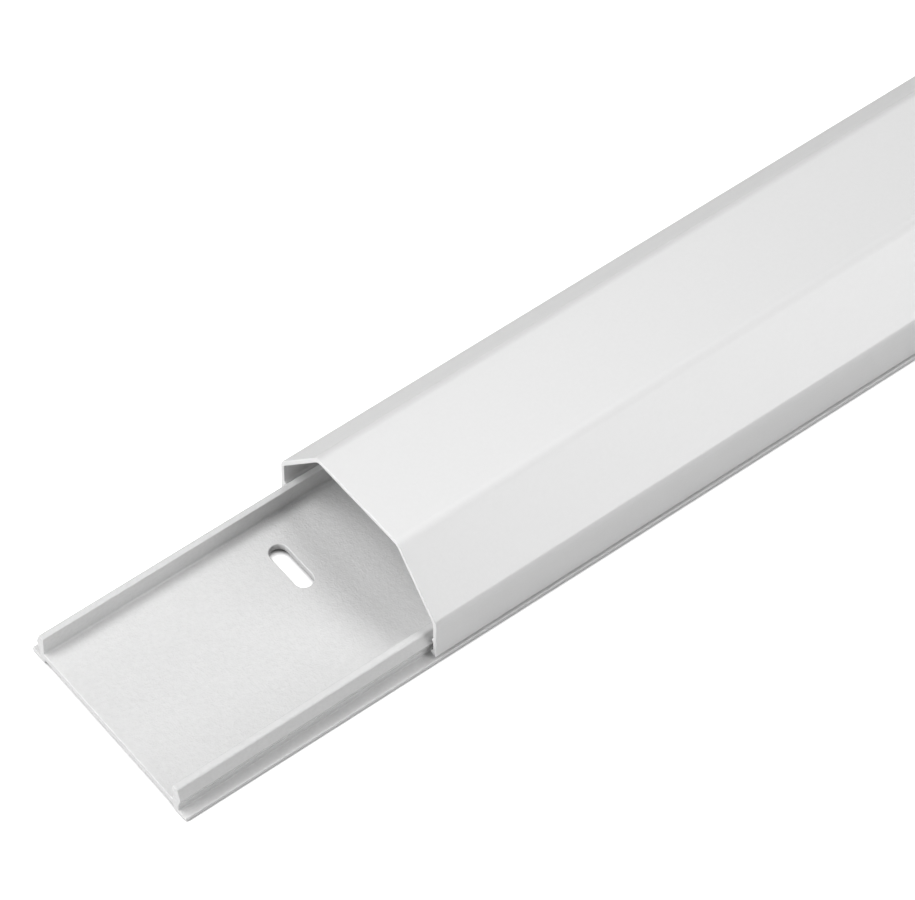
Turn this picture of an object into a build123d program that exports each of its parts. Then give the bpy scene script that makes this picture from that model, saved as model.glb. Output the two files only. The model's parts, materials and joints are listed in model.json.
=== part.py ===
from build123d import *

import os
from math import atan2, radians, tan

# Two-piece aluminium cord cover raceway: a screw-down base, and the faceted cover that slides along its
# rails. Millimetres. X runs along the raceway, Y across it and Z up from the surface that it lies on. The
# origin is the middle of the whole on that surface, with the cover slid back along the base.

# Overall sizes
raceway_length = 1100.0
base_width = 50.0
total_height = 25.7
cover_slid_back = 59.4

# Base section, one side of its middle line, with heights from the feet
floor_thickness = 1.8
tape_recess_depth = 1.0
ledge_width = 2.5
ledge_thickness = 1.0
rail_thickness = 1.6
rail_height = 7.7
rail_top_width = 1.45
barb_reach = 0.85
barb_height = 4.85
barb_foot_height = 2.5

# Cover section
cover_wall = 1.05
cover_lift = 0.6
shoulder_height = 12.0
top_width = 25.7
slide_clearance = 0.3
rib_rise = 1.1
rib_crest = 0.3

# Corner radii left by the extrusion dies
ledge_edge_radius = 0.3
recess_corner_radius = 0.5
rail_foot_radius = 0.45
undercut_radius = 0.2
barb_tip_radius = 0.25
rail_outer_edge_radius = 0.55
rail_inner_edge_radius = 0.2
ridge_radius = 3.0
shoulder_radius = 2.5
cover_edge_radius = 0.3
rib_radius = 0.12

# Screw slots, punched across the floor and staggered either side of its middle line
slot_length = 12.0
slot_width = 4.0
slot_offset = 8.9
slot_end_margin = 50.0
slot_count = 6

# The floor stands above its feet by the depth of the tape recess, which is as wide as the channel
floor_top = tape_recess_depth + floor_thickness

# Distances from the middle line to the faces of a rail
rail_root = base_width / 2 - ledge_width
rail_inner = rail_root - rail_thickness
rail_top_outer = rail_inner + rail_top_width
barb_tip = rail_root + barb_reach
barb_slope = (barb_tip - rail_top_outer) / (rail_height - barb_height)

# The cover wall clears the barb: a hook passes below the barb, and a rib runs along the rail above it
wall_inner = barb_tip + slide_clearance
wall_outer = wall_inner + cover_wall
wall_bottom = ledge_thickness + cover_lift
hook_tip = rail_root + slide_clearance
hook_top = barb_foot_height - slide_clearance
hook_reach = wall_inner - hook_tip
hook_bottom = hook_top - rib_crest
rib_bottom = barb_height + rib_rise
rib_tip = barb_tip - barb_slope * rib_rise + slide_clearance
rib_reach = wall_inner - rib_tip
rib_top = rib_bottom + rib_crest

# Inside corners of the cover, mitred and rounded so that the sheet keeps one thickness round its bends
ridge = top_width / 2
slant_angle = atan2(total_height - shoulder_height, wall_outer - ridge)
inside_shoulder_height = shoulder_height - cover_wall * tan((radians(90) - slant_angle) / 2)
inside_ridge = ridge - cover_wall * tan(slant_angle / 2)
inside_top = total_height - cover_wall
inside_ridge_radius = ridge_radius - cover_wall
inside_shoulder_radius = shoulder_radius - cover_wall

# Both pieces are the same length, so the whole is longer by as much as the cover is slid back
near_end = -(raceway_length + cover_slid_back) / 2
base_end = Plane.YZ.offset(near_end)
cover_end = base_end.offset(cover_slid_back)

slot_pitch = (raceway_length - 2 * slot_end_margin) / (slot_count - 1)
slot_centres = [
    (near_end + slot_end_margin + number * slot_pitch, slot_offset * (-1) ** number)
    for number in range(slot_count)
]

# Corners of each section from the middle line round one side and back to it: distance across, height, radius
base_corners = [
    (rail_inner, tape_recess_depth, recess_corner_radius),
    (rail_inner, 0, ledge_edge_radius),
    (base_width / 2, 0, ledge_edge_radius),
    (base_width / 2, ledge_thickness, ledge_edge_radius),
    (rail_root, ledge_thickness, undercut_radius),
    (rail_root, barb_foot_height, undercut_radius),
    (barb_tip, barb_height, barb_tip_radius),
    (rail_top_outer, rail_height, rail_outer_edge_radius),
    (rail_inner, rail_height, rail_inner_edge_radius),
    (rail_inner, floor_top, rail_foot_radius),
]
cover_corners = [
    (inside_ridge, inside_top, inside_ridge_radius),
    (wall_inner, inside_shoulder_height, inside_shoulder_radius),
    (wall_inner, rib_top + rib_reach, rib_radius),
    (rib_tip, rib_top, rib_radius),
    (rib_tip, rib_bottom, rib_radius),
    (wall_inner, rib_bottom - rib_reach, rib_radius),
    (wall_inner, hook_top + hook_reach, rib_radius),
    (hook_tip, hook_top, rib_radius),
    (hook_tip, hook_bottom, rib_radius),
    (wall_inner, wall_bottom, cover_edge_radius),
    (wall_outer, wall_bottom, cover_edge_radius),
    (wall_outer, shoulder_height, shoulder_radius),
    (ridge, total_height, ridge_radius),
]


def symmetric_outline(corners):
    """Draws a section as one closed line with rounded corners: the side given, and its mirror image."""
    other_side = [(-across, up, radius) for across, up, radius in reversed(corners)]
    both_sides = corners + other_side
    FilletPolyline(
        *[(across, up) for across, up, radius in both_sides],
        radius=[radius for across, up, radius in both_sides],
        close=True,
    )


with BuildPart() as base:
    with BuildSketch(base_end):
        with BuildLine():
            symmetric_outline(base_corners)
        make_face()
    extrude(amount=raceway_length)
    with BuildSketch(Plane.XY.offset(tape_recess_depth)):
        with Locations(*slot_centres):
            SlotOverall(slot_length, slot_width, rotation=90)
    extrude(amount=floor_thickness, mode=Mode.SUBTRACT)

with BuildPart() as cover:
    with BuildSketch(cover_end):
        with BuildLine():
            symmetric_outline(cover_corners)
        make_face()
    extrude(amount=raceway_length)

base.part.label = "base"
cover.part.label = "cover"

os.makedirs("parts", exist_ok=True)
export_step(base.part, "parts/base.step")
export_step(cover.part, "parts/cover.step")
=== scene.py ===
import json
import math

import bpy
from mathutils import Matrix, Vector


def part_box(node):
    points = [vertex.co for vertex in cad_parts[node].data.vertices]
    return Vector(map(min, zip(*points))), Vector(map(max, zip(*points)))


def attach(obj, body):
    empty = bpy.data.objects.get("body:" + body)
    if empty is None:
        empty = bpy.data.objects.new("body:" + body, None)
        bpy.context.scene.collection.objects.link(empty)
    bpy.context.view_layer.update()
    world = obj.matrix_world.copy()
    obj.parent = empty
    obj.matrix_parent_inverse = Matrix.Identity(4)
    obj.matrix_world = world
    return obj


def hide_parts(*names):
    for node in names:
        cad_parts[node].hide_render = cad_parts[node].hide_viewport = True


# A white powder-coated aluminium cord cover raceway: the base, with the cover slid back along its rails.
# X runs along the raceway, Y across it and Z up. Lengths are in metres unless a name ends in _mm or _px.

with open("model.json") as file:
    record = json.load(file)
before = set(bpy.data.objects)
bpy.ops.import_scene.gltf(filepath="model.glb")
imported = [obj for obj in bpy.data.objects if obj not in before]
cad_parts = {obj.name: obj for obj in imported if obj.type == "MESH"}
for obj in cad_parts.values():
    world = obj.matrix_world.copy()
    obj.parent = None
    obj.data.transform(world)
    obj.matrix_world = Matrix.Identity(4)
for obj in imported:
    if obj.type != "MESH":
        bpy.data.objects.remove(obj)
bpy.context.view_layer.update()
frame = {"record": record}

MM = 0.001

# The section of the base, one side of its middle line, with heights from the feet
base_low, base_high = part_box("base")
floor_thickness = 1.8 * MM
tape_recess_depth = 1.0 * MM
ledge_width = 2.5 * MM
ledge_thickness = 1.0 * MM
rail_thickness = 1.6 * MM
rail_top_width = 1.45 * MM
barb_reach = 0.85 * MM
barb_height = 4.85 * MM
barb_foot_height = 2.5 * MM
floor_top = tape_recess_depth + floor_thickness
rail_height = base_high.z
rail_root = base_high.y - ledge_width
rail_inner = rail_root - rail_thickness
rail_top_outer = rail_inner + rail_top_width
barb_tip = rail_root + barb_reach
barb_slope = (barb_tip - rail_top_outer) / (rail_height - barb_height)

# The section of the cover
cover_low, cover_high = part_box("cover")
cover_wall = 1.05 * MM
shoulder_height = 12.0 * MM
top_width = 25.7 * MM
slide_clearance = 0.3 * MM
rib_rise = 1.1 * MM
rib_crest = 0.3 * MM
wall_outer = cover_high.y
wall_inner = wall_outer - cover_wall
hook_tip = rail_root + slide_clearance
hook_top = barb_foot_height - slide_clearance
hook_bottom = hook_top - rib_crest
hook_reach = wall_inner - hook_tip
rib_bottom = barb_height + rib_rise
rib_top = rib_bottom + rib_crest
rib_tip = barb_tip - barb_slope * rib_rise + slide_clearance
rib_reach = wall_inner - rib_tip
ridge = top_width / 2
slant_angle = math.atan2(cover_high.z - shoulder_height, wall_outer - ridge)
inside_shoulder_height = shoulder_height - cover_wall * math.tan((math.pi / 2 - slant_angle) / 2)
inside_ridge = ridge - cover_wall * math.tan(slant_angle / 2)
inside_top = cover_high.z - cover_wall

# Corner radii of the two dies, and the soft edge that the coat leaves round a cut end or a punched slot
ledge_edge_radius = 0.3 * MM
recess_corner_radius = 0.5 * MM
rail_foot_radius = 0.45 * MM
undercut_radius = 0.2 * MM
barb_tip_radius = 0.25 * MM
rail_outer_edge_radius = 0.55 * MM
rail_inner_edge_radius = 0.2 * MM
ridge_radius = 3.0 * MM
shoulder_radius = 2.5 * MM
inside_ridge_radius = ridge_radius - cover_wall
inside_shoulder_radius = shoulder_radius - cover_wall
cover_edge_radius = 0.3 * MM
rib_radius = 0.12 * MM
coated_edge = 0.2 * MM
smallest_radius = 0.02 * MM

# Screw slots, with their places on the underside of the floor taken from the mounts of the record
slot_length = 12.0 * MM
slot_width = 4.0 * MM
slot_places = [
    Vector(mount["pos_m"]) for mount in frame["record"]["mounts"] if mount["name"].startswith("screw_slot")
]

# Corners of each section from the middle line round one side and back to it: distance across, height, radius
base_corners = [
    (rail_inner, tape_recess_depth, recess_corner_radius),
    (rail_inner, base_low.z, ledge_edge_radius),
    (base_high.y, base_low.z, ledge_edge_radius),
    (base_high.y, ledge_thickness, ledge_edge_radius),
    (rail_root, ledge_thickness, undercut_radius),
    (rail_root, barb_foot_height, undercut_radius),
    (barb_tip, barb_height, barb_tip_radius),
    (rail_top_outer, rail_height, rail_outer_edge_radius),
    (rail_inner, rail_height, rail_inner_edge_radius),
    (rail_inner, floor_top, rail_foot_radius),
]
cover_corners = [
    (inside_ridge, inside_top, inside_ridge_radius),
    (wall_inner, inside_shoulder_height, inside_shoulder_radius),
    (wall_inner, rib_top + rib_reach, rib_radius),
    (rib_tip, rib_top, rib_radius),
    (rib_tip, rib_bottom, rib_radius),
    (wall_inner, rib_bottom - rib_reach, rib_radius),
    (wall_inner, hook_top + hook_reach, rib_radius),
    (hook_tip, hook_top, rib_radius),
    (hook_tip, hook_bottom, rib_radius),
    (wall_inner, cover_low.z, cover_edge_radius),
    (wall_outer, cover_low.z, cover_edge_radius),
    (wall_outer, shoulder_height, shoulder_radius),
    (ridge, cover_high.z, ridge_radius),
]

# How finely the round parts are drawn
arc_steps = 8
edge_steps = 4
slot_end_steps = 24

# The soft edge from the cut face to the full section, as pairs: how far drawn in, and how far along
soft_edge_angles = [math.pi / 2 * step / edge_steps for step in range(edge_steps + 1)]
soft_edge = [(coated_edge * (1 - math.sin(a)), coated_edge * (1 - math.cos(a))) for a in soft_edge_angles]


def section_ring(corners, inset):
    """Points round both sides of a section, with its corners rounded and its outline drawn in by inset."""
    outline = corners + [(-y, z, radius) for y, z, radius in reversed(corners)]
    points = []
    for index, (y, z, radius) in enumerate(outline):
        corner = Vector((y, z))
        before = Vector(outline[index - 1][:2])
        after = Vector(outline[(index + 1) % len(outline)][:2])
        come = (corner - before).normalized()
        go = (after - corner).normalized()
        turn = math.atan2(come.x * go.y - come.y * go.x, come.dot(go))
        come_inward = Vector((-come.y, come.x))
        go_inward = Vector((-go.y, go.x))
        corner += (come_inward + go_inward) * (inset / (1 + come_inward.dot(go_inward)))
        side = math.copysign(1, turn)
        bend = max(radius - side * inset, smallest_radius)
        start = corner - come * (bend * math.tan(abs(turn) / 2))
        centre = start + come_inward * (side * bend)
        for step in range(arc_steps + 1):
            points.append(centre + Matrix.Rotation(turn * step / arc_steps, 2) @ (start - centre))
    return points


def stacked_rings(name, rings):
    """A closed mesh object skinned over rings of equal length, with a flat face on the first and the last."""
    count = len(rings[0])
    faces = [tuple(reversed(range(count)))]
    for lower in range(len(rings) - 1):
        for index in range(count):
            following = (index + 1) % count
            faces.append(
                (
                    lower * count + index,
                    lower * count + following,
                    (lower + 1) * count + following,
                    (lower + 1) * count + index,
                )
            )
    faces.append(tuple(range((len(rings) - 1) * count, len(rings) * count)))
    mesh = bpy.data.meshes.new(name)
    mesh.from_pydata([point for ring in rings for point in ring], [], faces)
    mesh.validate()
    piece = bpy.data.objects.new(name, mesh)
    bpy.context.scene.collection.objects.link(piece)
    return piece


def extrusion(name, corners, start, end):
    """A length of extrusion along X, with the soft edge of the coat round both cut ends."""
    stations = [(start + along, inset) for inset, along in soft_edge]
    stations += [(end - along, inset) for inset, along in reversed(soft_edge)]
    rings = [[(x, y, z) for y, z in section_ring(corners, inset)] for x, inset in stations]
    return stacked_rings(name, rings)


def slot_ring(place, widening, z):
    """Points round one slot at height z, long way across the raceway."""
    radius = slot_width / 2 + widening
    reach = (slot_length - slot_width) / 2
    points = []
    for half in (0, 1):
        for step in range(slot_end_steps + 1):
            angle = math.pi * (half + step / slot_end_steps)
            end = reach if half == 0 else -reach
            points.append((place.x + radius * math.cos(angle), place.y + end + radius * math.sin(angle), z))
    return points


def slot_punch(place):
    """The punch that leaves one slot with soft lips on both faces of the floor."""
    clear = floor_thickness / 2
    rings = [slot_ring(place, coated_edge, place.z - clear)]
    rings += [slot_ring(place, widening, place.z + depth) for widening, depth in soft_edge]
    rings += [slot_ring(place, widening, floor_top - depth) for widening, depth in reversed(soft_edge)]
    rings.append(slot_ring(place, coated_edge, floor_top + clear))
    return stacked_rings("slot_punch", rings)


def punch_slots(piece):
    """Cuts every screw slot through the floor of the base."""
    for place in slot_places:
        punch = slot_punch(place)
        cut = piece.modifiers.new("slot", "BOOLEAN")
        cut.operation = "DIFFERENCE"
        cut.solver = "EXACT"
        cut.object = punch
        punched = bpy.data.meshes.new_from_object(piece.evaluated_get(bpy.context.evaluated_depsgraph_get()))
        piece.modifiers.clear()
        piece.data = punched
        bpy.data.objects.remove(punch)


def shade(piece, material):
    """Smooth shading that keeps the large faces flat, and the finish."""
    piece.data.materials.clear()
    piece.data.materials.append(material)
    piece.data.shade_smooth()
    flat_faces = piece.modifiers.new("flat_faces", "WEIGHTED_NORMAL")
    flat_faces.weight = 100


def linear(hex_colour):
    """An sRGB hex colour as linear RGBA."""
    channels = [int(hex_colour[place : place + 2], 16) / 255 for place in (1, 3, 5)]
    return [c / 12.92 if c <= 0.04045 else ((c + 0.055) / 1.055) ** 2.4 for c in channels] + [1.0]


def add_node(tree, kind, **inputs):
    """Adds a node. Each input is a setting, or a socket to link, under the name of the node's own socket."""
    node = tree.nodes.new(kind)
    for name, value in inputs.items():
        socket = node.inputs[name.replace("_", " ")]
        if isinstance(value, bpy.types.NodeSocket):
            tree.links.new(value, socket)
        else:
            socket.default_value = value
    return node


def bare_material(name):
    """A material with an empty node tree."""
    material = bpy.data.materials.new(name)
    material.use_nodes = True
    material.node_tree.nodes.clear()
    return material


def powder_coat(name, hollow_tone, crest_tone, peel_depth_mm, grit_depth_mm):
    """White polyester powder coat, sprayed dry on aluminium and baked.

    It melts into a satin skin with orange peel. A thin coat keeps the sandy grain of the powder, and a full
    one flows out smooth.
    """
    peel_mm = 0.8
    # Powder grains are about 0.05 mm, too fine to show, so the grit is drawn coarser
    grit_mm = 0.35
    # The hollows of the peel are a shade greyer and a little less glossy than its crests
    hollow_roughness = 0.27
    crest_roughness = 0.22
    material = bare_material(name)
    tree = material.node_tree
    place = add_node(tree, "ShaderNodeTexCoord").outputs["Object"]
    peel_noise = add_node(tree, "ShaderNodeTexNoise", Vector=place, Scale=1 / (peel_mm * MM), Detail=2.0)
    grit_noise = add_node(tree, "ShaderNodeTexNoise", Vector=place, Scale=1 / (grit_mm * MM), Detail=1.0)
    peel = peel_noise.outputs["Fac"]
    peel_bump = add_node(tree, "ShaderNodeBump", Height=peel, Distance=peel_depth_mm * MM)
    grit_bump = add_node(
        tree,
        "ShaderNodeBump",
        Height=grit_noise.outputs["Fac"],
        Distance=grit_depth_mm * MM,
        Normal=peel_bump.outputs["Normal"],
    )
    tone = add_node(tree, "ShaderNodeValToRGB", Fac=peel)
    tone.color_ramp.elements[0].color = linear(hollow_tone)
    tone.color_ramp.elements[1].color = linear(crest_tone)
    gloss = add_node(tree, "ShaderNodeMapRange", Value=peel, To_Min=hollow_roughness, To_Max=crest_roughness)
    surface = add_node(
        tree,
        "ShaderNodeBsdfPrincipled",
        Base_Color=tone.outputs["Color"],
        Roughness=gloss.outputs["Result"],
        Normal=grit_bump.outputs["Normal"],
    )
    add_node(tree, "ShaderNodeOutputMaterial", Surface=surface.outputs["BSDF"])
    return material


def studio_paper():
    """Pale studio paper, rolled from pulp and left uncoated, so it is matte.

    The photograph is cut out on white, so open paper glows to the camera, and only to it.
    """
    shade_reach_mm = 2.0
    openness_without_glow = 0.42
    openness_with_full_glow = 0.8
    material = bare_material("pale_studio_paper")
    tree = material.node_tree
    path = add_node(tree, "ShaderNodeLightPath")
    openness = add_node(tree, "ShaderNodeAmbientOcclusion", Distance=shade_reach_mm * MM)
    glow = add_node(
        tree,
        "ShaderNodeMapRange",
        Value=openness.outputs["AO"],
        From_Min=openness_without_glow,
        From_Max=openness_with_full_glow,
        To_Max=path.outputs["Is Camera Ray"],
    )
    surface = add_node(
        tree,
        "ShaderNodeBsdfPrincipled",
        Base_Color=linear("#d7d7d7"),
        Roughness=0.9,
        Specular_IOR_Level=0.1,
        Emission_Color=linear("#ffffff"),
        Emission_Strength=glow.outputs["Result"],
    )
    add_node(tree, "ShaderNodeOutputMaterial", Surface=surface.outputs["BSDF"])
    return material


sandy_coat = powder_coat(
    "sandy_white_powder_coat",
    hollow_tone="#d7d7d7",
    crest_tone="#e2e2e2",
    peel_depth_mm=0.09,
    grit_depth_mm=0.045,
)
smooth_coat = powder_coat(
    "smooth_white_powder_coat",
    hollow_tone="#e4e4e4",
    crest_tone="#e7e7e7",
    peel_depth_mm=0.015,
    grit_depth_mm=0.005,
)

base_bar = extrusion("base_bar", base_corners, base_low.x, base_high.x)
punch_slots(base_bar)
shade(base_bar, sandy_coat)
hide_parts("base")
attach(base_bar, "base")

cover_bar = extrusion("cover_bar", cover_corners, cover_low.x, cover_high.x)
shade(cover_bar, smooth_coat)
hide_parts("cover")
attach(cover_bar, "cover")

# The floor, a hair below the feet so that no two faces share a plane
floor_reach = 12.0
floor_drop = 0.05 * MM
floor_corners = [
    (x * floor_reach, y * floor_reach, -floor_drop) for x, y in ((-1, -1), (1, -1), (1, 1), (-1, 1))
]
floor_mesh = bpy.data.meshes.new("studio_floor")
floor_mesh.from_pydata(floor_corners, [], [range(len(floor_corners))])
floor = bpy.data.objects.new("studio_floor", floor_mesh)
bpy.context.scene.collection.objects.link(floor)
floor_mesh.materials.append(studio_paper())


def softbox(name, place, aim, width, height, watts, spread=math.pi):
    """A square-edged soft lamp at place, turned to aim. A smaller spread is a grid in front of it."""
    lamp = bpy.data.lights.new(name, "AREA")
    lamp.shape = "RECTANGLE"
    lamp.size = width
    lamp.size_y = height
    lamp.energy = watts
    lamp.spread = spread
    box = bpy.data.objects.new(name, lamp)
    box.location = place
    box.rotation_euler = (Vector(aim) - Vector(place)).to_track_quat("-Z", "Y").to_euler()
    box.visible_camera = False
    bpy.context.scene.collection.objects.link(box)


# Studio lights round the near end, and one with a grid past the far end, where the cover slides out
near_end = (-0.5, 0, 0.01)
past_far_end = (1.05, 0, 0)
grid_spread = math.radians(80)
softbox("front_softbox", (-1.64, 0, 0.38), near_end, width=0.7, height=0.6, watts=7.3)
softbox("far_front_softbox", (-1.25, 0.5, 0.8), near_end, width=0.9, height=0.9, watts=4.3)
softbox("far_side_softbox", (-0.75, 0.24, 0.66), near_end, width=0.35, height=0.35, watts=2.0)
softbox("overhead_softbox", (-0.16, -0.03, 1.08), near_end, width=1.35, height=0.38, watts=4.2)
softbox("near_side_softbox", (0.08, -0.84, 0.74), near_end, width=0.6, height=0.64, watts=3.3)
softbox("near_side_strip", (-0.03, -0.785, 0.325), near_end, width=0.44, height=0.16, watts=1.35)
softbox("far_end_softbox", (1.05, 0, 1.0), past_far_end, width=1.6, height=0.5, watts=3.2, spread=grid_spread)

# The backdrop, white to the camera only, so it gives no light
world = bpy.data.worlds.new("studio")
bpy.context.scene.world = world
world.use_nodes = True
sky = world.node_tree
sky.nodes.clear()
to_camera = add_node(sky, "ShaderNodeLightPath").outputs["Is Camera Ray"]
sky_white = add_node(sky, "ShaderNodeBackground", Color=linear("#ffffff"), Strength=to_camera)
add_node(sky, "ShaderNodeOutputWorld", Surface=sky_white.outputs["Background"])

# The camera, fitted to the photograph's edges
image_width_px = 915
focal_length_px = 5523
sensor_width_mm = 36
camera_place = Vector((-891.9, -502.6, 869.0)) * MM
camera_azimuth = math.radians(-38.227)
camera_elevation = math.radians(52.934)
camera_roll = math.radians(0.456)
lens = bpy.data.cameras.new("camera")
lens.sensor_width = sensor_width_mm
lens.lens = focal_length_px / image_width_px * sensor_width_mm
camera = bpy.data.objects.new("camera", lens)
camera.matrix_world = (
    Matrix.Translation(camera_place)
    @ Matrix.Rotation(camera_azimuth, 4, "Z")
    @ Matrix.Rotation(math.pi / 2 - camera_elevation, 4, "X")
    @ Matrix.Rotation(camera_roll, 4, "Z")
)
bpy.context.scene.collection.objects.link(camera)
bpy.context.scene.camera = camera
bpy.context.scene.view_settings.view_transform = "Standard"
